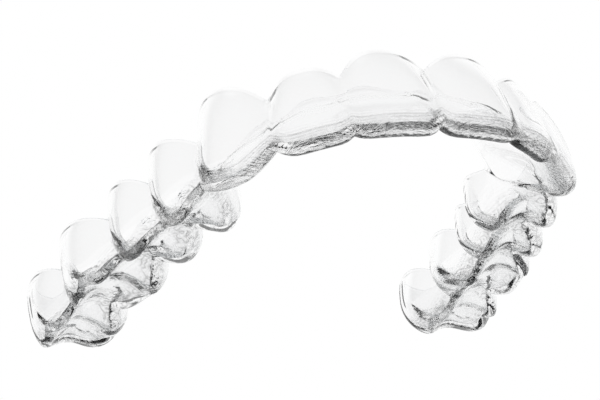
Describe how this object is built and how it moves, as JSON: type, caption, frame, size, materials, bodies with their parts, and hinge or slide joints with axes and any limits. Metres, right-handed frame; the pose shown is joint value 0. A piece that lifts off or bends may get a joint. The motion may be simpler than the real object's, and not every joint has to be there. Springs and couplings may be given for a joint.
{
  "type": "clear dental aligner",
  "caption": "Thin clear tray formed over a full upper arch of teeth, open towards the gums, with a scalloped trim edge.",
  "frame": {"origin": "middle of the bounding box, on the plane that the tray's cusps rest on", "axes": "+Z from the biting edges towards the gums, front teeth towards -Y, arch open towards +Y"},
  "size_m": [0.0536, 0.0454, 0.0099],
  "materials": {
    "clear_plastic": "clear, gloss"
  },
  "bodies": {
    "root": {"aligner_shell": "clear_plastic"}
  },
  "joints": []
}
